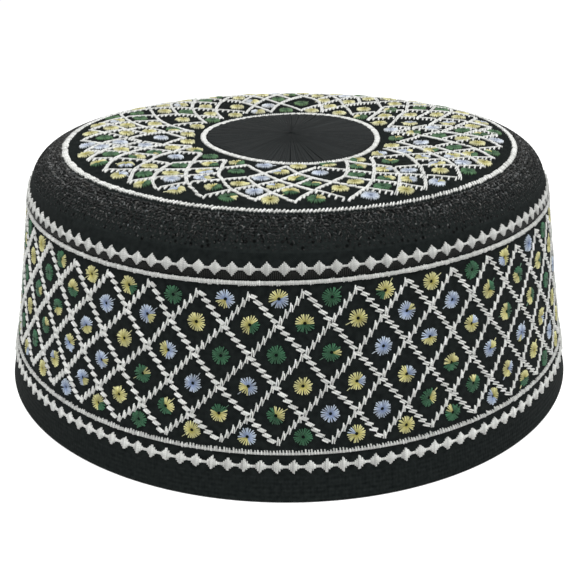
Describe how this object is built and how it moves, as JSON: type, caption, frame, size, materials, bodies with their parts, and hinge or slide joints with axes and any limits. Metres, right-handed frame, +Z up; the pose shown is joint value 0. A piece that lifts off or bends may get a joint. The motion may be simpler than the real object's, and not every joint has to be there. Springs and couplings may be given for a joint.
{
  "type": "kufi",
  "caption": "Round flat-crowned prayer cap with an embroidered crown and side band, satin rings, diamond borders and a rolled hem.",
  "frame": {"origin": "centre of the cap's rim, on the surface it stands on", "axes": "+Z up through the middle of the crown, -Y towards the front of the cap, +X to the viewer's right"},
  "size_m": [0.1876, 0.1876, 0.0748],
  "materials": {
    "black_cloth": "matte embroidered cotton",
    "black_satin": "satin stitch in black thread",
    "white_thread": "satin stitch in white thread"
  },
  "bodies": {
    "root": {"crown_panel": "black_cloth", "shoulder": "black_cloth", "side_band": "black_cloth", "hem": "black_cloth", "centre_disc": "black_satin", "inner_ring": "white_thread", "outer_ring": "white_thread", "upper_line": "white_thread", "lower_line": "white_thread", "upper_diamonds": "white_thread", "lower_diamonds": "white_thread"}
  },
  "joints": []
}
